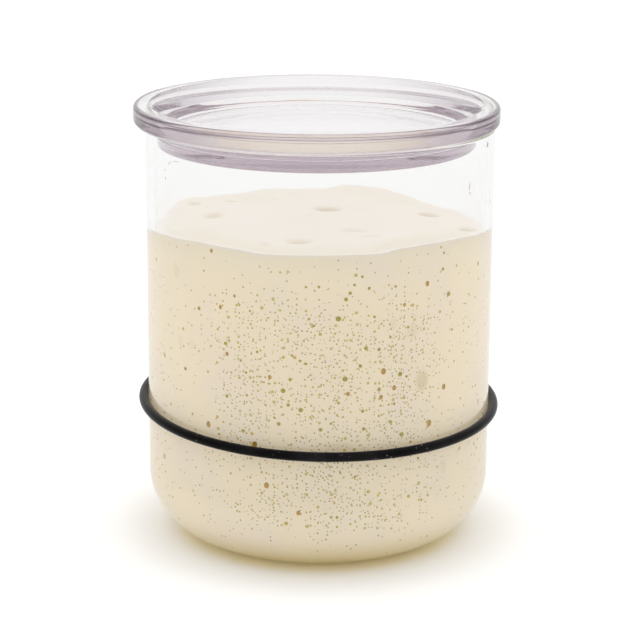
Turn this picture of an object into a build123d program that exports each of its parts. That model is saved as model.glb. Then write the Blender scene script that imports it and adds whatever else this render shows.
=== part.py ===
from build123d import *
import os

os.makedirs("parts", exist_ok=True)

# Glass jar, mouth up, standing on the XY plane with its axis on Z
jar_radius = 52.0
jar_height = 126.0
jar_wall = 2.2
jar_floor = 2.8
foot_corner_radius = 19.5
rim_round = 0.9
punt_radius = 27.0
punt_depth = 0.8

# Lid, one clear moulding: a thick edge that rests on the rim, a plug with a low lip, and a dished top.
# It is loose, and lies a little to the left within the play of its lip in the mouth.
lid_overhang = 2.5
lid_edge_height = 6.0
lid_edge_width = 4.7
lid_top_round = 1.3
lid_under_round = 1.7
lip_clearance = 2.35
lip_height = 3.6
lip_width = 0.95
lip_top_round = 0.2
lip_bottom_round = 1.5
plug_depth = 6.2
plug_root_round = 0.2
dish_depth = 7.8
dish_wall = 4.85
dish_mouth_round = 0.3
dish_floor_round = 4.0
boss_radius = 28.0
boss_height = 0.6
boss_round = 0.2
lid_left_shift = 1.04

# Level band, a round rubber ring that grips the outside of the jar and was left a little tilted
band_thickness = 2.8
band_clearance = 0.2
band_height = 40.85
band_front_drop_angle = 2.0
band_right_drop_angle = 1.07

# Starter, the risen dough that fills the lower three quarters of the jar
starter_level = 95.5
starter_crown = 2.6
starter_clearance = 0.1
starter_shoulder_round = 0.8

# Sizes that follow from the ones above
jar_inner_radius = jar_radius - jar_wall
inner_corner_radius = foot_corner_radius - jar_wall
lid_radius = jar_radius + lid_overhang
lid_top = jar_height + lid_edge_height
lip_radius = jar_inner_radius - lip_clearance
plug_radius = lip_radius - lip_width
plug_bottom = jar_height - plug_depth
lip_top = plug_bottom + lip_height
dish_floor = lid_top - dish_depth
dish_mouth_radius = lid_radius - lid_edge_width
dish_floor_radius = lip_radius - dish_wall
boss_top = dish_floor + boss_height
band_ring_radius = jar_radius + band_clearance + band_thickness / 2
starter_radius = jar_inner_radius - starter_clearance
starter_bottom = jar_floor + starter_clearance
starter_corner_radius = inner_corner_radius - starter_clearance
starter_top = starter_level + starter_crown


def outline(corners):
    """Closed outline drawn right of the Z axis. Each corner is a radius, a height and its rounding."""
    face = make_face(Polyline(*[(radius, height) for radius, height, _ in corners], close=True))
    for radius, height, rounding in corners:
        if rounding > 0:
            face = fillet(nearest_corner(face, radius, height), rounding)
    return face


def nearest_corner(face, radius, height):
    """Corner of a flat outline that lies nearest to this radius and height."""
    return face.vertices().sort_by_distance((radius, height, 0))[0]


def turned(face):
    """Solid made by turning an outline once about the Z axis."""
    return revolve(Plane.XZ * face, Axis.Z)


def cap_circle(cap_radius, cap_rise, top):
    """Circle centred on the Z axis whose upper cap has this radius and rise, and ends at this height."""
    circle_radius = (cap_radius**2 + cap_rise**2) / (2 * cap_rise)
    return Pos(0, top - circle_radius) * Circle(circle_radius)


def make_glass_jar():
    """Straight glass cylinder with a rounded foot, a fire-polished rim and a shallow hollow underneath."""
    shell = outline(
        [
            (0, 0, 0),
            (jar_radius, 0, foot_corner_radius),
            (jar_radius, jar_height, rim_round),
            (jar_inner_radius, jar_height, rim_round),
            (jar_inner_radius, jar_floor, inner_corner_radius),
            (0, jar_floor, 0),
        ]
    )
    punt = cap_circle(punt_radius, punt_depth, punt_depth)
    return turned(shell - punt)


def make_lid():
    """Clear lid: its edge lies on the rim, its plug hangs in the mouth and its top is dished."""
    moulding = outline(
        [
            (0, plug_bottom, 0),
            (lip_radius, plug_bottom, lip_bottom_round),
            (lip_radius, lip_top, lip_top_round),
            (plug_radius, lip_top, 0),
            (plug_radius, jar_height, plug_root_round),
            (lid_radius, jar_height, lid_under_round),
            (lid_radius, lid_top, lid_top_round),
            (dish_mouth_radius, lid_top, dish_mouth_round),
            (dish_floor_radius, dish_floor, dish_floor_round),
            (boss_radius, dish_floor, boss_round),
            (boss_radius, boss_top, boss_round),
            (0, boss_top, 0),
        ]
    )
    return Pos(-lid_left_shift, 0, 0) * turned(moulding)


def make_level_band():
    """Round rubber ring about the jar, lower in front and on the right."""
    ring = Torus(band_ring_radius, band_thickness / 2)
    tilt = Rot(band_front_drop_angle, band_right_drop_angle, 0)
    return Pos(0, 0, band_height) * tilt * ring


def make_starter():
    """Dough that follows the inside of the glass and is a little crowned on top."""
    filling = outline(
        [
            (0, starter_bottom, 0),
            (starter_radius, starter_bottom, starter_corner_radius),
            (starter_radius, starter_top, 0),
            (0, starter_top, 0),
        ]
    )
    dough = filling & cap_circle(starter_radius, starter_crown, starter_top)
    shoulder = nearest_corner(dough, starter_radius, starter_level)
    return turned(fillet(shoulder, starter_shoulder_round))


pieces = {
    "glass_jar": make_glass_jar(),
    "starter": make_starter(),
    "level_band": make_level_band(),
    "lid": make_lid(),
}
for name, piece in pieces.items():
    export_step(piece, f"parts/{name}.step")
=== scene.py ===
import math
import random

import bmesh
import bpy
from bpy.props import FloatProperty, FloatVectorProperty, IntProperty, PointerProperty
from bpy.types import Operator, Panel, PropertyGroup
from mathutils import Matrix, Vector, noise


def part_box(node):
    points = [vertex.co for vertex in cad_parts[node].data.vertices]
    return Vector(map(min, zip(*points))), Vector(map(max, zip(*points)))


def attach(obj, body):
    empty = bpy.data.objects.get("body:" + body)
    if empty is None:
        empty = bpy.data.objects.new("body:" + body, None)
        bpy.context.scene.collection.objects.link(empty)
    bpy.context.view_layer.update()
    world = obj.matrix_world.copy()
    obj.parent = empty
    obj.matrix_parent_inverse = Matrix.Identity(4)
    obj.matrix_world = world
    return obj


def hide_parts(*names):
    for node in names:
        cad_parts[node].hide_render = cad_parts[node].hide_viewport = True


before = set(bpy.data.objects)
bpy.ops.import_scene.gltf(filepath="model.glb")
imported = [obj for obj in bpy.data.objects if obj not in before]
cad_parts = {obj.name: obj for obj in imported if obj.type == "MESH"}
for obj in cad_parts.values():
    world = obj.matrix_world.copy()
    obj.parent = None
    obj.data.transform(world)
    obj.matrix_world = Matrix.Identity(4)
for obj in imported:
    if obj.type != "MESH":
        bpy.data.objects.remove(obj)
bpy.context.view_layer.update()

bl_info = {
    "name": "Sourdough starter jar",
    "version": (1, 0, 0),
    "blender": (4, 5, 0),
    "location": "View3D > Sidebar > Starter Jar",
    "description": "Models a glass jar of risen starter with its clear lid and rubber level band",
    "category": "Object",
}

MM = 0.001
# Places on a ring or a level are told apart by more than this
NEAR = 0.02 * MM
JAR_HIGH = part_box("glass_jar")[1]
LID_LOW, LID_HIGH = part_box("lid")
BAND_LOW, BAND_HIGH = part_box("level_band")
LID_RADIUS = (LID_HIGH.x - LID_LOW.x) / 2
LID_CENTRE = (LID_HIGH.x + LID_LOW.x) / 2
BAND_MIDDLE = (BAND_LOW.z + BAND_HIGH.z) / 2
# Air left under the lid's edge, and inside the band
LID_GAP = 0.03 * MM
BAND_GAP = 0.02 * MM

# Sides of the round pieces, and of the dough
SIDES = 256
DOUGH_SIDES = 384
# A level face with more corners than this closes a round piece
CAP_CORNERS = 12
# Faces that meet at less than this are shaded as one surface, on hard pieces and on the dough
HARD_ANGLE = math.radians(40)
DOUGH_ANGLE = math.radians(50)

WHITE = (1, 1, 1, 1)
# How strongly glass, plastic and wet dough bend light
GLASS_BEND = 1.47
PLASTIC_BEND = 1.5
DOUGH_BEND = 1.4

# Camera: its place in mm, how far it looks down and leans in radians, its lens and sensor in mm, and
# the nearest distance that it shows in metres
EYE = (0.29, -662.527, 243.612)
LOOK_DOWN = 0.263367825
LEAN = 0.00648311
LENS = 126.7264
SENSOR = 36
NEAREST = 0.05
# How many faces light may meet, in clear pieces and on plain ones
CLEAR_BOUNCES = 96
PLAIN_BOUNCES = 6

# Heights in mm at which the dough meets the glass, by degrees round from the front, the right side positive
CONTACT_HEIGHTS = (
    (-180, 95.4), (-169, 95.4), (-159, 95.9), (-149, 95.2), (-135, 95.7), (-122, 96.9), (-117, 97.0),
    (-111, 96.2), (-103, 94.3), (-90, 94.8), (-78, 95.2), (-69, 96.2), (-58, 96.9), (-42, 97.6),
    (-30, 97.4), (-17.5, 96.7), (0, 97.0), (20, 97.0), (27, 97.9), (38, 98.1), (50, 97.9), (66, 96.9),
    (72, 96.4), (90, 95.0), (106, 93.8), (113, 93.9), (120, 93.9), (129, 93.4), (137, 93.9),
    (149, 95.5), (157, 96.6), (169, 96.9), (180, 95.4),
)

# Hollows in the top of the dough, in mm: x, y, half length, half width, turn in degrees, depth
TOP_HOLLOWS = (
    (-32.5, 7.8, 3.4, 3.4, 0, 0.9),
    (-28.1, 27.6, 2.4, 3.0, 20, 1.3),
    (-39.3, 21.3, 2.8, 2.4, 30, 0.8),
    (-14.5, 32.0, 1.0, 1.2, 0, 0.5),
    (2.2, 15.2, 4.6, 5.0, 0, 1.9),
    (-3.2, 4.0, 1.3, 1.6, 0, 0.35),
    (-5.9, -28.8, 4.4, 3.8, 0, 1.0),
    (-15.7, -34.2, 2.4, 2.2, 0, 0.4),
    (10.1, -15.2, 5.0, 2.6, 0, 0.6),
    (14.6, -24.3, 4.2, 1.3, -4, 0.4),
    (19.5, -37.0, 1.8, 1.5, 0, 0.3),
    (33.6, 16.2, 4.2, 3.8, -35, 1.6),
    (43.6, -8.0, 2.8, 5.4, 10, 1.9),
)
# Depth in mm of a hollow with this shade, up to a full one
PIT_DEPTH = 1.5
PIT_SHADE = 0.7

# Lumps of the top of the dough: width and height in mm, and the layer of noise that they come from
LUMPS = ((17, 0.7, 0.3), (6, 0.25, 4.1))
# Where the lumps start to fade, and where the top starts to climb to the glass, each with its width in mm
LUMPS_FADE = (40, 9)
CLIMB = (46.2, 3.4)
# How far the top climbs at the glass, and how far all of it sinks, in mm
CLIMB_HEIGHT = 0.5
SINK = 0.3
# Share of the radius, from the middle, in which the top ignores the line along the glass
CALM_SHARE = 0.35

# Soft olive patches of painted shade, where a big bubble lies behind a film of dough: degrees round, height
# in mm, and half width and half height in mm, and how strongly the patch shows
PATCHES = (
    (35.8, 58.2, 2.6, 4.0, 0.45), (24.6, 76.3, 1.3, 2.4, 0.2), (31.5, 73.5, 2.4, 2.8, 0.2),
    (46.0, 30.5, 1.8, 2.8, 0.16), (-52.0, 67.0, 1.6, 2.4, 0.15), (-46.5, 67.0, 1.2, 2.0, 0.12),
    (7.0, 41.0, 5.0, 1.6, 0.2), (53.3, 33.4, 1.2, 2.6, 0.15), (-54.0, 87.5, 1.8, 2.6, 0.2),
)

# Tall pale bubbles near the sides: degrees round, height, width and tallness in mm
TALL_BUBBLES = (
    (56.0, 77.7, 1.6, 3.4), (66.5, 75.7, 0.8, 2.4), (64.0, 68.5, 0.9, 2.6), (-54.0, 89.3, 1.0, 2.6),
    (-61.4, 63.1, 0.6, 4.2), (58.0, 66.0, 0.9, 2.6), (60.5, 58.0, 0.8, 2.2), (52.0, 61.0, 1.0, 2.2),
    (45.0, 30.5, 1.3, 2.4), (53.3, 33.4, 1.2, 3.0), (-64.0, 82.0, 0.9, 2.4), (-58.0, 50.0, 1.0, 2.2),
)

# Fine bubbles in three sizes, each painted shade at its centre with a painted light rim: the cell that may
# hold one and the bubble in mm, the largest share of cells with one, the strength of the painted light rim
# and the colour inside
FINE_BUBBLES = (
    (3.4, 0.5, 0.55, 0.4, "olive"),
    (2.2, 0.36, 0.8, 0.6, "olive"),
    (1.3, 0.24, 0.95, 0.8, "speck"),
)

# Bubbles round the back: degrees round, heights in mm with the likeliest last, widths in mm, the size
# of their clumps in mm, how many are tried, how many bubbles there are in all, and the radius in mm
# on which their distance is measured
BACK_TURNS = (62, 298)
BACK_HEIGHTS = (20, 92, 58)
BACK_WIDTHS = (0.7, 0.7, 0.8, 0.8, 0.9, 1.0, 1.1, 1.3, 1.5)
CLUMP = 14
TRIES = 1200
MOST_BUBBLES = 310
BACK_RADIUS = 50
# A bubble 1 mm wide: the half width of its ball in mm, and how far its middle is from the glass
BUBBLE_HALF = 0.55
BUBBLE_DEPTH = 0.12
# Places of the linings in the dough's list of materials
OLIVE_LINING = 1
AMBER_LINING = 2

# Larger bubbles seen at the glass in front: degrees round, height in mm, width in mm
OLIVE_BUBBLES = (
    (-31.6, 69.5, 1.1), (-11.5, 57.5, 1.4), (-26, 65.2, 0.8), (-24.1, 61.8, 0.8), (-9.2, 60.9, 1),
    (-20.2, 68.3, 0.8), (-8.6, 68, 0.8), (-6, 66.5, 0.8), (-4.1, 65.7, 0.8), (-3.2, 78.9, 0.7),
    (-1.6, 76.9, 0.8), (-22.7, 80.1, 0.7), (-42.6, 78.3, 1.1), (-49.5, 59, 1.1), (-31.2, 53.9, 1),
    (-23.8, 55.1, 0.8), (-0.1, 88.2, 0.8), (-4.2, 88.1, 0.7), (6.2, 78.9, 1.5), (8.6, 84.5, 1.1),
    (9.9, 86.3, 1), (13.8, 90.9, 0.8), (11.3, 88.6, 0.8), (16.1, 87.4, 0.9), (18, 79, 0.8),
    (25.2, 87.3, 0.8), (44, 90.2, 1), (46.9, 82.4, 1.4), (44.3, 94.9, 0.8), (15.3, 70, 1.1),
    (19.7, 69.3, 1), (13.5, 64.8, 1), (8.5, 61.2, 1.5), (27.3, 61.3, 1.4), (29.7, 60.3, 0.8),
    (19.9, 57.4, 1.1), (49.1, 71.4, 0.8), (23.6, 72.6, 0.8), (30, 74.9, 0.8), (-34.4, 41.9, 0.8),
    (-5.7, 52, 1.3), (-12.9, 47.5, 1.1), (-25.2, 44.2, 1.1), (-9.8, 53.3, 1), (0.7, 46.2, 1.1),
    (-46.1, 45.9, 0.8), (-14.3, 49.2, 0.7), (-10.4, 17.5, 1.1), (-16.5, 14.7, 0.8), (28.2, 43.1, 1.3),
    (24.1, 47.3, 1.1), (14.8, 46, 1.1), (14.4, 51.4, 1), (25.3, 52.6, 0.8), (6.5, 54.1, 0.8),
    (4.1, 48, 0.8), (12, 31.7, 0.8), (6.3, 19.6, 0.8), (6.3, 16.7, 0.8), (34.8, 34.9, 0.8),
    (7.2, 33.1, 0.7), (22.4, 34.2, 0.7), (36.4, 21.8, 0.8),
)
AMBER_BUBBLES = (
    (-31.1, 66.5, 1), (-15.9, 61.2, 1), (-33.6, 80, 1), (-28.2, 83.9, 0.8), (-37.1, 96.0, 1),
    (28.5, 81.6, 0.9), (37.3, 86.8, 1.3), (21.3, 62.7, 1.5), (25.2, 57.4, 1.2), (20.6, 55.1, 1.1),
    (9.5, 56.7, 1.1), (45.5, 54.8, 1.4), (-38.8, 44.1, 1.5), (-21.1, 40.6, 1.5), (-17, 28.6, 1.5),
    (-6.3, 20.9, 1.2), (39.1, 44.9, 1.7),
)

# Dried splashes inside the glass: degrees round, height, half width, half length in mm, turn in degrees
SPLASHES = (
    (71.4, 122.6, 0.6, 0.9, 0), (57.5, 112.4, 0.12, 1.2, 4), (57.8, 110.4, 0.2, 0.4, 0),
    (75.4, 105.3, 0.14, 1.2, 40), (78.0, 104.2, 0.16, 0.7, -30), (-60.7, 113.8, 0.22, 0.4, 0),
    (-60.9, 116.2, 0.16, 0.3, 0), (-57.8, 118.6, 0.08, 1.1, 55), (-54.0, 119.6, 0.07, 1.6, 84),
)

# Half thickness of a splash in mm, and how far its middle is from the glass in metres
SPLASH_HALF = 0.06
SPLASH_DEPTH = 0.03 * MM


def colour_property(name, description, default):
    """A linear colour that a user can change."""
    return FloatVectorProperty(
        name=name, description=description, default=default, size=3, min=0, max=1, subtype="COLOR"
    )


def length_property(name, description, default):
    """A length in metres that a user can change."""
    return FloatProperty(name=name, description=description, default=default, precision=5, unit="LENGTH")


def angle_property(name, description, degrees):
    """An angle that a user can change, given here in degrees."""
    return FloatProperty(name=name, description=description, default=math.radians(degrees), subtype="ANGLE")


def amount_property(name, description, default):
    """A plain number, never below zero, that a user can change."""
    return FloatProperty(name=name, description=description, default=default, min=0)


class GlassJarSettings(PropertyGroup):
    """Sizes of the glass jar."""

    radius: length_property("Radius", "Outside radius of the glass", JAR_HIGH.x)
    height: length_property("Height", "Height of the rim", JAR_HIGH.z)
    wall: length_property("Wall", "Thickness of the wall", 2.2 * MM)
    floor: length_property("Floor", "Height of the floor inside", 2.8 * MM)
    foot_round: length_property("Foot round", "Rounding of the foot outside", 19.5 * MM)
    rim_round: length_property("Rim round", "Rounding of the fire-polished rim", 0.9 * MM)
    punt_radius: length_property("Punt radius", "Radius of the hollow underneath", 27 * MM)
    punt_depth: length_property("Punt depth", "Depth of the hollow underneath", 0.8 * MM)
    waviness: FloatProperty(
        name="Waviness",
        description="Strength of the slow ripple of the glass",
        default=0.002,
        min=0,
        subtype="FACTOR",
    )
    tint: colour_property("Tint", "Colour that thick glass lets through", (0.905, 0.917, 0.89))
    density: amount_property("Density", "How fast the tint deepens, per metre", 50)


class LidSettings(PropertyGroup):
    """Sizes and tint of the clear lid."""

    radius: length_property("Radius", "Radius of the edge that lies on the rim", LID_RADIUS)
    centre_x: length_property("Centre", "How far right of the jar's axis the lid lies", LID_CENTRE)
    top: length_property("Top", "Height of the top of the edge", LID_HIGH.z)
    underside: length_property("Underside", "Height of the edge's underside", JAR_HIGH.z + LID_GAP)
    edge_width: length_property("Edge width", "Width of the level edge about the dish", 4.7 * MM)
    top_round: length_property("Top round", "Rounding of the edge's outer top", 1.3 * MM)
    under_round: length_property("Under round", "Rounding of the edge's outer underside", 1.7 * MM)
    plug_root_round: length_property("Plug root", "Rounding where the plug leaves the edge", 0.2 * MM)
    lip_radius: length_property("Lip radius", "Radius of the lip at the foot of the plug", 47.45 * MM)
    lip_width: length_property("Lip width", "How far the lip stands out from the plug", 0.95 * MM)
    lip_height: length_property("Lip height", "Height of the lip", 3.6 * MM)
    lip_top_round: length_property("Lip top round", "Rounding of the lip's upper edge", 0.2 * MM)
    lip_bottom_round: length_property("Lip bottom round", "Rounding of the lip's lower edge", 1.5 * MM)
    plug_depth: length_property("Plug depth", "How far the plug hangs below the rim", 6.2 * MM)
    dish_depth: length_property("Dish depth", "Depth of the dish in the top", 7.8 * MM)
    dish_floor_radius: length_property("Dish floor", "Radius of the dish's floor", 42.6 * MM)
    dish_mouth_round: length_property("Dish mouth round", "Rounding at the mouth of the dish", 0.3 * MM)
    dish_floor_round: length_property("Dish floor round", "Rounding at the foot of the dish's wall", 4 * MM)
    boss_radius: length_property("Boss radius", "Radius of the low boss in the dish", 28 * MM)
    boss_height: length_property("Boss height", "Height of the boss", 0.6 * MM)
    boss_round: length_property("Boss round", "Rounding of the boss", 0.06 * MM)
    tint: colour_property("Tint", "Colour that the thick plastic lets through", (0.805, 0.748, 0.785))
    # Painted shade: the rim is drawn darker where it is seen edge on
    painted_edge_shade: colour_property("Edge tint", "Colour of the rim where it is seen edge on", (0.49, 0.43, 0.465))
    density: amount_property("Density", "How fast the tint deepens, per metre", 38)


class BandSettings(PropertyGroup):
    """Sizes and colour of the level band."""

    thickness: length_property("Thickness", "Thickness of the ring", 2.8 * MM)
    ring_radius: length_property("Ring radius", "Radius of the ring's centre line", 53.6 * MM)
    height: length_property("Height", "Height at which the ring sits", BAND_MIDDLE)
    front_drop: angle_property("Front drop", "How far the front hangs down", 2)
    right_drop: angle_property("Right drop", "How far the right side hangs down", 1.07)
    seam: length_property("Seam", "How far the mould's parting line stands out", 0.05 * MM)
    rubber: colour_property("Rubber", "Colour of the rubber", (0.0018, 0.0016, 0.0018))
    dust: colour_property("Dust", "Colour of the dust on it", (0.19, 0.17, 0.18))


class StarterSettings(PropertyGroup):
    """Sizes and colours of the risen dough."""

    radius: length_property("Radius", "Radius of the dough, pressed into the glass", 49.95 * MM)
    bottom: length_property("Bottom", "Height of the dough's underside", 2.65 * MM)
    corner_round: length_property("Corner round", "Rounding of the dough's foot", 17.45 * MM)
    level: length_property("Level", "Mean height at which the dough meets the glass", 96.2 * MM)
    lip: length_property("Lip", "Height of the pale lip along the glass", 1.1 * MM)
    shoulder: length_property("Shoulder", "Rounding of the dough's top edge", 0.2 * MM)
    crown: length_property("Crown", "How far the middle has risen", 0.9 * MM)
    crumb: colour_property("Crumb", "Colour of the dough at the glass", (0.962, 0.886, 0.738))
    skin: colour_property("Skin", "Colour of the dough's top", (0.965, 0.905, 0.825))
    # Cream gives the top random creamier tone, and painted shade on its outer ring, strongest near the front
    cream: colour_property("Cream", "Colour of the wetter places on the top", (0.925, 0.865, 0.74))
    # Painted shade inside the hollows of the top, fuller where they are deeper
    hollow_shade: colour_property("Pit", "Colour inside a hollow of the top", (0.68, 0.58, 0.40))
    foam: colour_property("Foam", "Colour of the paler, rosier foam at the glass", (0.94, 0.86, 0.785))
    # Painted shade: the dough is drawn darker and yellower towards its foot, standing for the shade and warm
    # bounced light there
    foot: colour_property("Foot", "Colour of the dense dough at the foot", (0.80, 0.68, 0.37))
    # Painted light rim about each fine bubble
    painted_light_rim: colour_property("Halo", "Colour of the pale ring about a fine bubble", (0.97, 0.93, 0.84))
    # Olive, amber and speck are painted shade inside the bubbles' cavities, darker than the crumb; which
    # bubbles are browner differs at random
    olive: colour_property("Olive", "Colour inside most bubbles", (0.56, 0.48, 0.075))
    amber: colour_property("Amber", "Colour inside the browner bubbles", (0.64, 0.42, 0.06))
    speck: colour_property("Speck", "Colour of the finest bubbles", (0.43, 0.345, 0.09))
    # Painted shade of a big bubble behind a film of dough
    film: colour_property("Film", "Colour of a bubble behind a film of dough", (0.62, 0.55, 0.30))
    seed: IntProperty(name="Seed", description="Which scatter the unseen bubbles have", default=7)


class StageSettings(PropertyGroup):
    """Floor and light."""

    floor: colour_property("Floor", "Colour of the table", (0.98, 0.98, 0.98))
    # Painted shadow: the table is drawn warm and darker close to the dough's foot
    cast: colour_property("Cast", "Colour of the table close to the dough's foot", (0.98, 0.92, 0.70))
    near_lift: amount_property("Near lift", "White added to the table at the foot", 0.02)
    lift: amount_property("Lift", "White added to the table away from the jar", 0.21)
    glass_lift: amount_property("Glass lift", "White added to the table as glass shows it", 0.04)
    front_light: amount_property("Front light", "Brightness round the viewer", 0.88)
    back_light: amount_property("Back light", "Brightness behind the jar", 0.97)
    side_shade: amount_property("Side shade", "Brightness that clear pieces show less on both sides", 0.35)
    side_light: amount_property("Side light", "Brightness added on both sides of the dough and table", 0.25)


class Wire:
    """An output in a node tree. Arithmetic on it adds Math nodes."""

    def __init__(self, nodes, socket):
        self.nodes = nodes
        self.socket = socket

    def math(self, operation, first, second=0.0):
        return self.nodes.wire("ShaderNodeMath", "Value", {"operation": operation}, {0: first, 1: second})

    def __add__(self, other):
        return self.math("ADD", self, other)

    def __radd__(self, other):
        return self.math("ADD", other, self)

    def __sub__(self, other):
        return self.math("SUBTRACT", self, other)

    def __rsub__(self, other):
        return self.math("SUBTRACT", other, self)

    def __mul__(self, other):
        return self.math("MULTIPLY", self, other)

    def __rmul__(self, other):
        return self.math("MULTIPLY", other, self)

    def __lt__(self, other):
        return self.math("LESS_THAN", self, other)

    def __gt__(self, other):
        return self.math("GREATER_THAN", self, other)


class Nodes:
    """The node tree of a material or of the world."""

    def __init__(self, owner):
        owner.use_nodes = True
        self.tree = owner.node_tree
        self.tree.nodes.clear()

    def add(self, kind, settings=None, inputs=None):
        """Add a node: its settings first, then the values or links of its sockets."""
        node = self.tree.nodes.new(kind)
        for name, value in (settings or {}).items():
            setattr(node, name, value)
        for name, value in (inputs or {}).items():
            if isinstance(value, Wire):
                self.tree.links.new(value.socket, node.inputs[name])
            else:
                node.inputs[name].default_value = value
        return node

    def wire(self, kind, output, settings=None, inputs=None):
        """Add a node and take one of its outputs."""
        return Wire(self, self.add(kind, settings, inputs).outputs[output])

    def place(self):
        """Place on the piece."""
        return self.wire("ShaderNodeTexCoord", "Object")

    def part(self, vector, axis):
        """One part of a vector."""
        return self.wire("ShaderNodeSeparateXYZ", axis, None, {0: vector})

    def length(self, vector):
        """Length of a vector."""
        return self.wire("ShaderNodeVectorMath", "Value", {"operation": "LENGTH"}, {0: vector})

    def smooth(self, value, low, high):
        """0 below low, 1 above high, with a soft step between."""
        return self.wire(
            "ShaderNodeMapRange",
            "Result",
            {"interpolation_type": "SMOOTHSTEP"},
            {"Value": value, "From Min": low, "From Max": high},
        )

    def mix(self, factor, first, second):
        """Mix two colours."""
        return self.wire(
            "ShaderNodeMix",
            2,
            {"data_type": "RGBA", "clamp_factor": True},
            {0: factor, 6: first, 7: second},
        )

    def grain(self, place, scale, detail=2.0, roughness=0.5):
        """Noise of this scale per metre."""
        return self.wire(
            "ShaderNodeTexNoise",
            "Fac",
            None,
            {"Vector": place, "Scale": scale, "Detail": detail, "Roughness": roughness},
        )

    def bump(self, height, strength, distance):
        """Normal of a surface raised by a height."""
        return self.wire(
            "ShaderNodeBump", "Normal", None, {"Height": height, "Strength": strength, "Distance": distance}
        )

    def absorption(self, settings):
        """Tint that deepens with the thickness of a clear piece."""
        return self.wire(
            "ShaderNodeVolumeAbsorption",
            "Volume",
            None,
            {"Color": rgba(settings.tint), "Density": settings.density},
        )

    def surface(self, inputs):
        """Surface shader with these values or links."""
        return self.wire("ShaderNodeBsdfPrincipled", "BSDF", None, inputs)

    def finish(self, shader, volume=None):
        """Link the output."""
        output = {"Surface": shader}
        if volume is not None:
            output["Volume"] = volume
        self.add("ShaderNodeOutputMaterial", None, output)


def rgba(colour):
    """A colour with its alpha."""
    return (*colour, 1.0)


def new_material(name):
    """An empty material and its nodes."""
    material = bpy.data.materials.new(name)
    return material, Nodes(material)


def clear_glass(settings):
    """Clear glass with a slow ripple from its making."""
    material, nodes = new_material("clear_jar_glass")
    ripple = nodes.grain(nodes.place(), 38, 1.0)
    shader = nodes.surface(
        {
            "Base Color": WHITE,
            "Roughness": 0.0,
            "IOR": GLASS_BEND,
            "Transmission Weight": 1.0,
            "Normal": nodes.bump(ripple, settings.waviness, 1 * MM),
        }
    )
    nodes.finish(shader, nodes.absorption(settings))
    return material


def lilac_plastic(settings):
    """Clear polished plastic that looks lilac where it is thick, with painted shade on its rim where it is
    seen edge on.
    """
    material, nodes = new_material("clear_lilac_plastic")
    place = nodes.place()
    flow = nodes.grain(place, 55, 1.0)
    grazing = nodes.wire("ShaderNodeLayerWeight", "Facing", None, {"Blend": 0.5})
    upward = nodes.part(nodes.wire("ShaderNodeNewGeometry", "Normal"), "Z")
    flat = nodes.wire("ShaderNodeVectorMath", "Vector", {"operation": "MULTIPLY"}, {0: place, 1: (1, 1, 0)})
    rim = nodes.smooth(nodes.length(flat), settings.lip_radius + 2 * MM, settings.lip_radius + 4 * MM)
    # Painted shade on the rim's upright faces where they are seen edge on
    edge_on_shade = nodes.smooth(grazing, 0.02, 0.32) * (1 - upward * upward) * rim
    shader = nodes.surface(
        {
            "Base Color": nodes.mix(edge_on_shade, WHITE, rgba(settings.painted_edge_shade)),
            "Roughness": 0.0,
            "IOR": PLASTIC_BEND,
            "Transmission Weight": 1.0,
            "Normal": nodes.bump(flow, 0.001, 1 * MM),
        }
    )
    nodes.finish(shader, nodes.absorption(settings))
    return material


def black_rubber(settings):
    """Satin black rubber with a little dust."""
    material, nodes = new_material("black_band_rubber")
    place = nodes.place()
    specks = nodes.wire("ShaderNodeTexVoronoi", "Distance", None, {"Vector": place, "Scale": 700})
    patches = nodes.grain(place, 130, 3.0)
    dust = (1 - nodes.smooth(specks, 0.1, 0.22)) * nodes.smooth(patches, 0.45, 0.62)
    bloom = nodes.smooth(nodes.grain(place, 60, 4.0), 0.4, 0.75)
    pores = nodes.grain(place, 2600, 3.0, 0.6)
    shader = nodes.surface(
        {
            "Base Color": nodes.mix(dust * 0.8 + bloom * 0.06, rgba(settings.rubber), rgba(settings.dust)),
            "Roughness": 0.3 + bloom * 0.12 + dust * 0.3,
            "IOR": 1.5,
            "Specular IOR Level": 0.06,
            "Sheen Weight": 0.2,
            "Sheen Roughness": 0.35,
            "Normal": nodes.bump(pores + dust * 0.6, 0.22, 0.05 * MM),
        }
    )
    nodes.finish(shader)
    return material


def with_patches(nodes, settings, colour, turn, height):
    """The dough's colour with its soft olive patches of painted shade."""
    for degrees, level, half_width, half_height, strength in PATCHES:
        across = (turn - math.radians(degrees)) * (settings.radius / (half_width * MM))
        along = (height - level * MM) * (1 / (half_height * MM))
        near = 1 - nodes.smooth(across * across + along * along, 0.1, 1.1)
        colour = nodes.mix(near * strength, colour, rgba(settings.film))
    return colour


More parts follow.
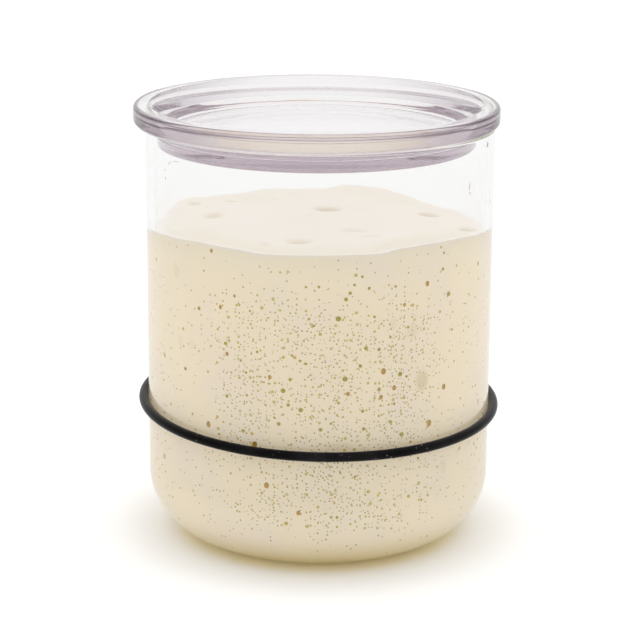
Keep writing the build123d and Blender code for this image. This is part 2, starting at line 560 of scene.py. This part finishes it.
def with_fine_bubbles(nodes, settings, colour, unrolled, share, wall):
    """The dough's colour with the fine bubbles on its wall, each painted shade at its centre with a painted
    light rim, and how far they dent it.
    """
    dents = 0.0
    for cell, size, most, painted_light_rim, inside in FINE_BUBBLES:
        dots = nodes.add(
            "ShaderNodeTexVoronoi",
            {"voronoi_dimensions": "2D"},
            {"Vector": unrolled, "Scale": 1 / (cell * MM)},
        )
        draws = nodes.add("ShaderNodeSeparateColor", None, {0: Wire(nodes, dots.outputs["Color"])})
        red, green, blue = (Wire(nodes, draws.outputs[name]) for name in ("Red", "Green", "Blue"))
        beyond = Wire(nodes, dots.outputs["Distance"]) * cell - (0.6 + green * 0.6) * size
        chosen = (red < share * most) * wall
        # Painted light rim about each bubble, and painted shade at its centre
        ring = (1 - nodes.smooth(beyond, 0.0, 0.35 * size + 0.1)) * chosen
        shaded_core = (1 - nodes.smooth(beyond, -0.3 * size, 0.05)) * chosen
        filling = nodes.mix(blue > 0.9, rgba(getattr(settings, inside)), rgba(settings.amber))
        colour = nodes.mix(ring * painted_light_rim, colour, rgba(settings.painted_light_rim))
        colour = nodes.mix(shaded_core * 0.85, colour, filling)
        dents = dents + shaded_core
    return colour, dents


def top_colour(nodes, settings, place, hollow_shade):
    """Colour of the dough's top: creamier at random, with painted shade on the outer ring that is strongest
    near the front and leaves it pale along the glass, and painted shade in the hollows.
    """
    right, back = nodes.part(place, "X"), nodes.part(place, "Y")
    span = right * right + back * back
    # Painted shade on the outer ring of the top, strongest near the front and stopping short of the glass
    front = 1 - nodes.smooth(back, -30 * MM, 5 * MM) * 0.7
    out = nodes.smooth(span, (30 * MM) ** 2, (43 * MM) ** 2) * front
    lip = nodes.smooth(span, (46 * MM) ** 2, (48.5 * MM) ** 2)
    cream_and_rim_shade = nodes.smooth(nodes.grain(place, 40, 3.0), 0.4, 0.66) * 0.35 + out * 0.95
    top = nodes.mix(cream_and_rim_shade * (1 - lip), rgba(settings.skin), rgba(settings.cream))
    return nodes.mix(hollow_shade, top, rgba(settings.hollow_shade))


def bubbly_dough(settings):
    """Cream dough full of fine bubbles, with a pale skin on top."""
    material, nodes = new_material("bubbly_starter_dough")
    place = nodes.place()
    right, back, height = (nodes.part(place, axis) for axis in "XYZ")
    skin = nodes.wire("ShaderNodeAttribute", "Fac", {"attribute_name": "skin"})
    hollow_shade = nodes.wire("ShaderNodeAttribute", "Fac", {"attribute_name": "hollow_shade"})
    turn = right.math("ARCTAN2", right, 0 - back)
    unrolled = nodes.wire("ShaderNodeCombineXYZ", 0, None, {0: turn * settings.radius, 1: height, 2: 0.0})

    clusters = nodes.smooth(nodes.grain(unrolled, 48, 2.0), 0.36, 0.6)
    belt = nodes.smooth(height, 8 * MM, 24 * MM) * (1 - nodes.smooth(height, 72 * MM, 92 * MM) * 0.93)
    ahead = turn.math("COSINE", turn - math.radians(4))
    busy = nodes.smooth(ahead, 0.7, 0.97) + nodes.smooth(0 - ahead, -0.1, 0.5)
    share = belt * (0.07 + busy * (0.27 + clusters * 0.62)) + 0.03

    tone = nodes.smooth(nodes.grain(unrolled, 60, 3.0), 0.35, 0.7)
    colour = nodes.mix(tone * (0.15 + clusters * 0.6), rgba(settings.crumb), rgba(settings.foam))
    # Painted shade: darker and yellower towards the foot
    colour = nodes.mix(1 - nodes.smooth(height, 1 * MM, 13 * MM), colour, rgba(settings.foot))
    colour = with_patches(nodes, settings, colour, turn, height)
    colour, dents = with_fine_bubbles(nodes, settings, colour, unrolled, share, 1 - skin)
    colour = nodes.mix(skin, colour, top_colour(nodes, settings, place, hollow_shade))

    crust = nodes.grain(place, 420, 4.0, 0.6) * skin
    shader = nodes.surface(
        {
            "Base Color": colour,
            "Roughness": 0.5 + skin * 0.12,
            "IOR": DOUGH_BEND,
            "Specular IOR Level": 0.25,
            "Normal": nodes.bump(crust - dents, 0.3, 0.2 * MM),
        }
    )
    nodes.finish(shader)
    return material


def bubble_lining(name, inside, edge):
    """Wet lining of a bubble at the glass, with browner painted shade under its upper edge, where it faces
    down.
    """
    material, nodes = new_material(name)
    film = nodes.grain(nodes.place(), 900, 2.0)
    upward = nodes.part(nodes.wire("ShaderNodeNewGeometry", "Normal"), "Z")
    shade_under_edge = (1 - nodes.smooth(upward, -0.8, 0.1)) * (0.5 + film * 0.5)
    shader = nodes.surface(
        {
            "Base Color": nodes.mix(shade_under_edge, rgba(inside), rgba(edge)),
            "Roughness": 0.35,
            "IOR": DOUGH_BEND,
            "Normal": nodes.bump(film, 0.3, 0.1 * MM),
        }
    )
    nodes.finish(shader)
    return material


def dried_splash():
    """Thin grey-brown film of dried dough."""
    material, nodes = new_material("dried_splash")
    cracks = nodes.grain(nodes.place(), 1500, 4.0, 0.7)
    colour = nodes.mix(nodes.smooth(cracks, 0.35, 0.65), (0.40, 0.36, 0.30, 1), (0.16, 0.14, 0.12, 1))
    bump = nodes.bump(cracks, 0.4, 0.1 * MM)
    shader = nodes.surface({"Base Color": colour, "Roughness": 0.6, "Normal": bump})
    nodes.finish(shader)
    return material


def only(piece):
    """Make one object the only selected one, and active."""
    bpy.ops.object.select_all(action="DESELECT")
    piece.select_set(True)
    bpy.context.view_layer.objects.active = piece


def add_cylinder(name, radius, low, high, sides, centre_x=0.0):
    """Upright cylinder whose place is in its mesh."""
    bpy.ops.object.select_all(action="DESELECT")
    middle = (centre_x, 0, (low + high) / 2)
    bpy.ops.mesh.primitive_cylinder_add(vertices=sides, radius=radius, depth=high - low, location=middle)
    return settle(name)


def settle(name):
    """Name the active object and put its place, turn and size in its mesh."""
    piece = bpy.context.object
    piece.name = name
    piece.data.name = name
    bpy.ops.object.transform_apply(location=True, rotation=True, scale=True)
    return piece


def join(pieces, name):
    """Make one piece of several, with its place in its mesh."""
    only(pieces[0])
    for piece in pieces:
        piece.select_set(True)
    bpy.ops.object.join()
    return settle(name)


def edit(piece, mode):
    """Open a piece in edit mode with nothing selected."""
    only(piece)
    bpy.ops.object.mode_set(mode="EDIT")
    bpy.ops.mesh.select_mode(type=mode)
    bpy.ops.mesh.select_all(action="DESELECT")


def leave():
    """Go back to object mode."""
    bpy.ops.object.mode_set(mode="OBJECT")


def pick(piece, mode, wanted):
    """Select the wanted faces or edges of a piece that is open in edit mode."""
    bpy.ops.mesh.select_mode(type=mode)
    bpy.ops.mesh.select_all(action="DESELECT")
    mesh = bmesh.from_edit_mesh(piece.data)
    for part in mesh.faces if mode == "FACE" else mesh.edges:
        part.select_set(wanted(part))
    bmesh.update_edit_mesh(piece.data)


def pick_cap(piece, height):
    """Select the level face with many corners at this height."""

    def is_cap(face):
        level = abs(face.calc_center_median().z - height) < NEAR and abs(face.normal.z) > 0.9
        return level and len(face.verts) > CAP_CORNERS

    pick(piece, "FACE", is_cap)


def pick_ring(piece, radius, height, centre_x):
    """Select the edges of a level ring about the upright axis at centre_x."""

    def on_ring(corner):
        out = math.hypot(corner.co.x - centre_x, corner.co.y)
        return abs(out - radius) < NEAR and abs(corner.co.z - height) < NEAR

    pick(piece, "EDGE", lambda edge: all(map(on_ring, edge.verts)))


def inset(thickness, depth=0.0):
    """Inset the selected faces, and push the inner ones out by depth."""
    bpy.ops.mesh.inset(thickness=thickness, depth=depth, use_even_offset=True)


def extrude(rise):
    """Extrude the selected faces straight up or down."""
    bpy.ops.mesh.extrude_region_move(TRANSFORM_OT_translate={"value": (0, 0, rise)})


def bevel(cut, segments):
    """Round the selected edges with an arc that starts this far from them on each side."""
    bpy.ops.mesh.bevel(offset=cut, segments=segments, profile=0.5, affect="EDGES", clamp_overlap=False)


def round_ring(piece, radius, height, cut, segments, centre_x=0.0):
    """Round a level ring of edges."""
    pick_ring(piece, radius, height, centre_x)
    bevel(cut, segments)


def polish(piece):
    """Smooth a hard piece, with its normals true to its broad faces."""
    only(piece)
    bpy.ops.object.shade_smooth_by_angle(angle=HARD_ANGLE)
    modifier = piece.modifiers.new("broad_faces", "WEIGHTED_NORMAL")
    modifier.mode = "FACE_AREA"
    modifier.weight = 50
    modifier.keep_sharp = True
    bpy.ops.object.modifier_apply(modifier=modifier.name)


def contact_height(degrees):
    """Height at which the dough meets the glass, in metres."""
    turned = (degrees + 180) % 360 - 180
    for (left, low), (right, high) in zip(CONTACT_HEIGHTS, CONTACT_HEIGHTS[1:]):
        if left <= turned <= right:
            share = (turned - left) / (right - left)
            share = share * share * (3 - 2 * share)
            return (low + (high - low) * share) * MM
    raise ValueError("no contact height at this turn")


def degrees_round(place):
    """Degrees round from the front, the right side positive."""
    return math.degrees(math.atan2(place.x, -place.y))


def on_wall(degrees, height, radius):
    """Place on an upright cylinder about the jar's axis."""
    turn = math.radians(degrees)
    return Vector((radius * math.sin(turn), -radius * math.cos(turn), height))


def soft_step(value):
    """Cubic step from 0 to 1."""
    value = min(max(value, 0.0), 1.0)
    return value * value * (3 - 2 * value)


def fade(value, start, width):
    """0 up to a start and 1 past its width, both in mm, with a soft step between."""
    return soft_step((value - start * MM) / (width * MM))


class STARTERJAR_OT_glass_jar(Operator):
    """Model the glass jar"""

    bl_idname = "starter_jar.glass_jar"
    bl_label = "Glass jar"

    def execute(self, context):
        size = context.scene.starter_jar_glass
        jar = add_cylinder("jar_of_clear_glass", size.radius, 0, size.height, SIDES)
        inner = size.radius - size.wall
        edit(jar, "FACE")
        pick_cap(jar, size.height)
        inset(size.wall)
        extrude(size.floor - size.height)
        rounds = (
            (size.radius, 0, size.foot_round, 32),
            (inner, size.floor, size.foot_round - size.wall, 32),
            (size.radius, size.height, size.rim_round, 10),
            (inner, size.height, size.rim_round, 10),
        )
        for ring in rounds:
            round_ring(jar, *ring)
        self.hollow_foot(jar, size)
        leave()
        polish(jar)
        jar.data.materials.append(clear_glass(size))
        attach(jar, "jar")
        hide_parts("glass_jar")
        return {"FINISHED"}

    def hollow_foot(self, jar, size):
        """Press the shallow hollow into the underside, ring by ring."""
        sphere = (size.punt_radius**2 + size.punt_depth**2) / (2 * size.punt_depth)
        pick_cap(jar, 0)
        inset(size.radius - size.foot_round - size.punt_radius)
        rings = 9
        radius, rise = size.punt_radius, 0.0
        for ring in range(1, rings):
            next_radius = size.punt_radius * (1 - ring / rings)
            next_rise = size.punt_depth - sphere + math.sqrt(sphere**2 - next_radius**2)
            inset(radius - next_radius, rise - next_rise)
            radius, rise = next_radius, next_rise
        bpy.ops.mesh.poke(offset=0.0)


class STARTERJAR_OT_lid(Operator):
    """Model the clear lid"""

    bl_idname = "starter_jar.lid"
    bl_label = "Lid"

    def execute(self, context):
        size = context.scene.starter_jar_lid
        lid = add_cylinder(
            "lid_of_clear_plastic", size.radius, size.underside, size.top, SIDES, size.centre_x
        )
        dish_mouth = size.radius - size.edge_width
        dish_floor = size.top - size.dish_depth
        plug = size.lip_radius - size.lip_width
        lip_top = JAR_HIGH.z - size.plug_depth + size.lip_height
        edit(lid, "FACE")
        pick_cap(lid, size.top)
        inset(size.edge_width)
        inset(dish_mouth - size.dish_floor_radius, -size.dish_depth)
        inset(size.dish_floor_radius - size.boss_radius)
        extrude(size.boss_height)
        pick_cap(lid, size.underside)
        inset(size.radius - plug)
        extrude(lip_top - size.underside)
        extrude(0)
        wider = size.lip_radius / plug
        bpy.ops.transform.resize(value=(wider, wider, 1), center_override=(size.centre_x, 0, lip_top))
        extrude(-size.lip_height)
        slope = math.atan2(size.dish_depth, dish_mouth - size.dish_floor_radius)
        lean = math.tan(slope / 2)
        rounds = (
            (size.radius, size.underside, size.under_round, 14),
            (size.radius, size.top, size.top_round, 12),
            (dish_mouth, size.top, size.dish_mouth_round * lean, 8),
            (size.dish_floor_radius, dish_floor, size.dish_floor_round * lean, 10),
            (size.boss_radius, dish_floor, size.boss_round, 8),
            (size.boss_radius, dish_floor + size.boss_height, size.boss_round, 8),
            (plug, size.underside, size.plug_root_round, 8),
            (size.lip_radius, lip_top, size.lip_top_round, 8),
            (size.lip_radius, lip_top - size.lip_height, size.lip_bottom_round, 12),
        )
        for ring in rounds:
            round_ring(lid, *ring, size.centre_x)
        leave()
        polish(lid)
        lid.data.materials.append(lilac_plastic(size))
        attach(lid, "lid")
        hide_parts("lid")
        return {"FINISHED"}


class STARTERJAR_OT_level_band(Operator):
    """Model the rubber level band"""

    bl_idname = "starter_jar.level_band"
    bl_label = "Level band"

    def execute(self, context):
        size = context.scene.starter_jar_band
        bpy.ops.object.select_all(action="DESELECT")
        bpy.ops.mesh.primitive_torus_add(
            location=(0, 0, size.height),
            rotation=(size.front_drop, size.right_drop, 0),
            major_segments=SIDES,
            minor_segments=36,
            major_radius=size.ring_radius - size.seam,
            minor_radius=size.thickness / 2,
        )
        band = settle("band_of_black_rubber")
        self.raise_seam(band, size)
        self.press_on(band, size)
        only(band)
        bpy.ops.object.shade_smooth()
        band.data.materials.append(black_rubber(size))
        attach(band, "band")
        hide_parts("level_band")
        return {"FINISHED"}

    def raise_seam(self, band, size):
        """Raise the fine parting line round the outside."""
        outside = size.ring_radius - size.seam + size.thickness / 2
        half_width = 0.09 * MM
        centre = Vector((0, 0, size.height))
        edit(band, "EDGE")
        pick(
            band,
            "EDGE",
            lambda edge: all(abs((corner.co - centre).length - outside) < NEAR for corner in edge.verts),
        )
        bevel(half_width, 2)
        mesh = bmesh.from_edit_mesh(band.data)
        for corner in mesh.verts:
            away = corner.co - centre
            if abs(away.length - outside) < 0.2 * NEAR:
                corner.co = centre + away * ((outside + size.seam) / outside)
        bmesh.update_edit_mesh(band.data)
        leave()

    def press_on(self, band, size):
        """Flatten the inside of the stretched ring on the glass."""
        glass = JAR_HIGH.x + BAND_GAP
        inside = size.ring_radius - size.seam - size.thickness / 2
        squeeze = 1.6
        for corner in band.data.vertices:
            place = corner.co
            radius = math.hypot(place.x, place.y)
            share = soft_step((size.ring_radius - radius) / (size.thickness / 2))
            pressed = max(glass, radius - share * (inside - glass) * squeeze)
            place.x *= pressed / radius
            place.y *= pressed / radius


class STARTERJAR_OT_starter(Operator):
    """Model the risen dough with its bubbles"""

    bl_idname = "starter_jar.starter"
    bl_label = "Starter"

    def execute(self, context):
        size = context.scene.starter_jar_starter
        dough = add_cylinder("risen_starter", size.radius, size.bottom, size.level - size.lip, DOUGH_SIDES)
        edit(dough, "FACE")
        pick_cap(dough, size.level - size.lip)
        extrude(size.lip)
        round_ring(dough, size.radius, size.bottom, size.corner_round, 24)
        round_ring(dough, size.radius, size.level, size.shoulder, 3)
        pick_cap(dough, size.level)
        first = 0.5 * MM
        inset(first)
        steps = 66
        for _ in range(steps):
            inset((size.radius - size.shoulder - first) / (steps + 1))
        bpy.ops.mesh.poke(offset=0.0)
        leave()
        self.shape_top(dough, size)
        dough.data.materials.append(bubbly_dough(size))
        # brown is the painted shade under the upper edge of the amber linings; olive linings use amber for it
        brown = [part * 0.5 for part in size.amber]
        dough.data.materials.append(bubble_lining("olive_bubble_lining", size.olive, size.amber))
        dough.data.materials.append(bubble_lining("amber_bubble_lining", size.amber, brown))
        self.open_bubbles(dough, size)
        only(dough)
        bpy.ops.object.shade_smooth_by_angle(angle=DOUGH_ANGLE)
        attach(dough, "jar")
        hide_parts("starter")
        return {"FINISHED"}

    def shape_top(self, dough, size):
        """Follow the line along the glass, and give the top its crown, lumps and hollows."""
        mesh = dough.data
        skin = mesh.attributes.new("skin", "FLOAT", "POINT")
        hollow_shade = mesh.attributes.new("hollow_shade", "FLOAT", "POINT")
        for index, corner in enumerate(mesh.vertices):
            place = corner.co
            if place.z < size.level - size.lip - NEAR:
                continue
            radius = math.hypot(place.x, place.y)
            share = soft_step((radius / size.radius - CALM_SHARE) / (1 - CALM_SHARE))
            rise = (contact_height(degrees_round(place)) - size.level) * share
            inward = 1 - fade(radius, *LUMPS_FADE)
            rise += CLIMB_HEIGHT * MM * fade(radius, *CLIMB) - SINK * MM
            rise += size.crown * (1 - (radius / size.radius) ** 2)
            for width, height, layer in LUMPS:
                rise += inward * height * MM * noise.noise(Vector((place.x, place.y, layer)) / (width * MM))
            depth = self.hollow_depth(place)
            # Painted shade in the hollows, fuller where they are deeper
            hollow_shade.data[index].value = min(1.0, PIT_SHADE * depth / (PIT_DEPTH * MM))
            skin.data[index].value = 1.0 if place.z > size.level - size.lip + NEAR else 0.0
            place.z += rise - depth

    def hollow_depth(self, place):
        """How far the hollows of the top go down at a place, in metres."""
        depth = 0.0
        for x, y, length, width, turn, deep in TOP_HOLLOWS:
            away = Matrix.Rotation(math.radians(-turn), 2) @ Vector((place.x / MM - x, place.y / MM - y))
            reach = math.hypot(away.x / length, away.y / width)
            depth = max(depth, deep * MM * (1 - soft_step((reach - 0.35) / 0.75)))
        return depth

    def open_bubbles(self, dough, size):
        """Cut the larger bubbles into the dough where they touch the glass."""
        draw = random.Random(size.seed)
        places = [(turn, height, width, width, OLIVE_LINING) for turn, height, width in OLIVE_BUBBLES]
        places += [(turn, height, width, width * 1.2, AMBER_LINING) for turn, height, width in AMBER_BUBBLES]
        places += [(turn, height, width, tall, 0) for turn, height, width, tall in TALL_BUBBLES]
        for _ in range(TRIES):
            turn = draw.uniform(*BACK_TURNS)
            height = draw.triangular(*BACK_HEIGHTS)
            width = draw.choice(BACK_WIDTHS)
            clump = noise.noise(on_wall(turn, height * MM, size.radius) / (CLUMP * MM))
            apart = all(
                math.hypot(math.radians(turn - other[0]) * BACK_RADIUS, height - other[1]) > width + other[3]
                for other in places
            )
            if clump > -0.05 and apart and len(places) < MOST_BUBBLES:
                tall = width * draw.uniform(1, 1.3)
                lining = draw.choice((OLIVE_LINING, OLIVE_LINING, OLIVE_LINING, AMBER_LINING))
                places.append((turn, height, width, tall, lining))
        bubbles = join([self.bubble(dough, size, *place) for place in places], "bubbles")
        only(dough)
        modifier = dough.modifiers.new("bubbles", "BOOLEAN")
        modifier.operation = "DIFFERENCE"
        modifier.solver = "EXACT"
        modifier.object = bubbles
        bpy.ops.object.modifier_apply(modifier=modifier.name)
        bpy.data.objects.remove(bubbles)

    def bubble(self, dough, size, turn, height, width, tall, lining):
        """One bubble against the glass, with the lining that it leaves in the dough."""
        bpy.ops.object.select_all(action="DESELECT")
        bpy.ops.mesh.primitive_ico_sphere_add(subdivisions=2, radius=BUBBLE_HALF * MM)
        bubble = bpy.context.object
        bubble.matrix_world = (
            Matrix.Translation(on_wall(turn, height * MM, size.radius - BUBBLE_DEPTH * width * MM))
            @ Matrix.Rotation(math.radians(turn), 4, "Z")
            @ Matrix.Diagonal((width, width, tall, 1))
        )
        for material in dough.data.materials:
            bubble.data.materials.append(material)
        for face in bubble.data.polygons:
            face.material_index = lining
        return bubble


class STARTERJAR_OT_splashes(Operator):
    """Model the dried splashes inside the glass"""

    bl_idname = "starter_jar.splashes"
    bl_label = "Splashes"

    def execute(self, context):
        size = context.scene.starter_jar_glass
        inner = size.radius - size.wall
        marks = []
        for turn, height, half_width, half_length, lean in SPLASHES:
            bpy.ops.object.select_all(action="DESELECT")
            bpy.ops.mesh.primitive_uv_sphere_add(segments=16, ring_count=10, radius=1 * MM)
            mark = bpy.context.object
            mark.matrix_world = (
                Matrix.Translation(on_wall(turn, height * MM, inner - SPLASH_DEPTH))
                @ Matrix.Rotation(math.radians(turn), 4, "Z")
                @ Matrix.Rotation(math.radians(lean), 4, "Y")
                @ Matrix.Diagonal((half_width, SPLASH_HALF, half_length, 1))
            )
            marks.append(mark)
        splashes = join(marks, "dried_splashes")
        bpy.ops.object.shade_smooth()
        splashes.data.materials.append(dried_splash())
        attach(splashes, "jar")
        return {"FINISHED"}


class STARTERJAR_OT_stage(Operator):
    """Set the pale floor, the soft light and the camera"""

    bl_idname = "starter_jar.stage"
    bl_label = "Stage"

    def execute(self, context):
        stage = context.scene.starter_jar_stage
        self.lay_floor(stage)
        self.light_room(context, stage)
        self.set_camera(context)
        scene = context.scene
        scene.view_settings.view_transform = "Standard"
        scene.cycles.max_bounces = CLEAR_BOUNCES
        scene.cycles.diffuse_bounces = PLAIN_BOUNCES
        scene.cycles.glossy_bounces = CLEAR_BOUNCES
        scene.cycles.transmission_bounces = CLEAR_BOUNCES
        scene.cycles.transparent_max_bounces = CLEAR_BOUNCES
        scene.cycles.caustics_reflective = True
        scene.cycles.caustics_refractive = True
        scene.cycles.blur_glossy = 0.0
        return {"FINISHED"}

    def lay_floor(self, stage):
        """Wide pale table that keeps the jar's shadow, with a warm shadow painted close to the foot."""
        bpy.ops.object.select_all(action="DESELECT")
        bpy.ops.mesh.primitive_circle_add(vertices=96, radius=2.5, fill_type="NGON", location=(0, 0, 0))
        floor = settle("pale_floor")
        material, nodes = new_material("pale_table")
        light = nodes.add("ShaderNodeLightPath")
        seen = Wire(nodes, light.outputs["Is Camera Ray"])
        mirrored = Wire(nodes, light.outputs["Is Glossy Ray"])
        in_glass = (mirrored + Wire(nodes, light.outputs["Is Transmission Ray"])) > 0.5
        radius = nodes.length(nodes.place())
        foot = JAR_HIGH.x
        # Painted shadow: a warm colour close to the foot, fading out past it
        clear_of_painted_shadow = nodes.smooth(radius, 0.76 * foot, 0.89 * foot)
        colour = nodes.mix(clear_of_painted_shadow, rgba(stage.cast), rgba(stage.floor))
        surface = nodes.surface({"Base Color": colour, "Roughness": 0.9})
        away = nodes.smooth(radius, 0.85 * foot, 1.35 * foot)
        seen_lift = stage.near_lift + away * (stage.lift - stage.near_lift)
        lift = seen * seen_lift + in_glass * stage.glass_lift
        glow = nodes.wire("ShaderNodeEmission", "Emission", None, {"Strength": lift})
        nodes.finish(nodes.wire("ShaderNodeAddShader", 0, None, {0: surface, 1: glow}))
        floor.data.materials.append(material)

    def light_room(self, context, stage):
        """White light all round, brighter behind the jar and different at the sides."""
        world = bpy.data.worlds.new("white_room")
        context.scene.world = world
        nodes = Nodes(world)
        direction = nodes.wire("ShaderNodeTexCoord", "Generated")
        behind = nodes.smooth(nodes.part(direction, "Y"), -0.5, 0.2)
        right = nodes.part(direction, "X")
        strength = stage.front_light + behind * (stage.back_light - stage.front_light)
        light = nodes.add("ShaderNodeLightPath")
        on_dough = Wire(nodes, light.outputs["Diffuse Depth"]) > 0.5
        seen = Wire(nodes, light.outputs["Is Camera Ray"])
        change = on_dough * (stage.side_light + stage.side_shade) - stage.side_shade
        strength = strength + nodes.smooth(right * right, 0.15, 0.8) * change
        strength = strength + seen * (1 - strength)
        sky = nodes.wire("ShaderNodeBackground", 0, None, {"Color": WHITE, "Strength": strength})
        nodes.add("ShaderNodeOutputWorld", None, {"Surface": sky})

    def set_camera(self, context):
        """Camera in front of the jar, looking a little down."""
        camera = bpy.data.cameras.new("front_camera")
        camera.sensor_width = SENSOR
        camera.lens = LENS
        camera.clip_start = NEAREST
        eye = bpy.data.objects.new("front_camera", camera)
        context.scene.collection.objects.link(eye)
        eye.matrix_world = (
            Matrix.Translation([part * MM for part in EYE])
            @ Matrix.Rotation(math.pi / 2 - LOOK_DOWN, 4, "X")
            @ Matrix.Rotation(LEAN, 4, "Z")
        )
        context.scene.camera = eye


class STARTERJAR_PT_pieces(Panel):
    """Sizes, colours and the pieces of the jar"""

    bl_idname = "STARTERJAR_PT_pieces"
    bl_label = "Starter jar"
    bl_space_type = "VIEW_3D"
    bl_region_type = "UI"
    bl_category = "Starter Jar"

    def draw(self, context):
        for settings, operators in PANEL_ROWS:
            box = self.layout.box()
            group = getattr(context.scene, settings)
            for name in group.bl_rna.properties.keys():
                if name not in ("rna_type", "name"):
                    box.prop(group, name)
            for operator in operators:
                box.operator(operator)


SETTINGS = {
    "starter_jar_glass": GlassJarSettings,
    "starter_jar_lid": LidSettings,
    "starter_jar_band": BandSettings,
    "starter_jar_starter": StarterSettings,
    "starter_jar_stage": StageSettings,
}
PANEL_ROWS = (
    ("starter_jar_glass", ("starter_jar.glass_jar", "starter_jar.splashes")),
    ("starter_jar_lid", ("starter_jar.lid",)),
    ("starter_jar_band", ("starter_jar.level_band",)),
    ("starter_jar_starter", ("starter_jar.starter",)),
    ("starter_jar_stage", ("starter_jar.stage",)),
)
CLASSES = (
    *SETTINGS.values(),
    STARTERJAR_OT_glass_jar,
    STARTERJAR_OT_lid,
    STARTERJAR_OT_level_band,
    STARTERJAR_OT_starter,
    STARTERJAR_OT_splashes,
    STARTERJAR_OT_stage,
    STARTERJAR_PT_pieces,
)


def register():
    for item in CLASSES:
        bpy.utils.register_class(item)
    for name, group in SETTINGS.items():
        setattr(bpy.types.Scene, name, PointerProperty(type=group))


def unregister():
    for name in SETTINGS:
        delattr(bpy.types.Scene, name)
    for item in reversed(CLASSES):
        bpy.utils.unregister_class(item)


def main():
    register()
    bpy.ops.starter_jar.glass_jar()
    bpy.ops.starter_jar.splashes()
    bpy.ops.starter_jar.starter()
    bpy.ops.starter_jar.level_band()
    bpy.ops.starter_jar.lid()
    bpy.ops.starter_jar.stage()


if __name__ == "__main__":
    main()
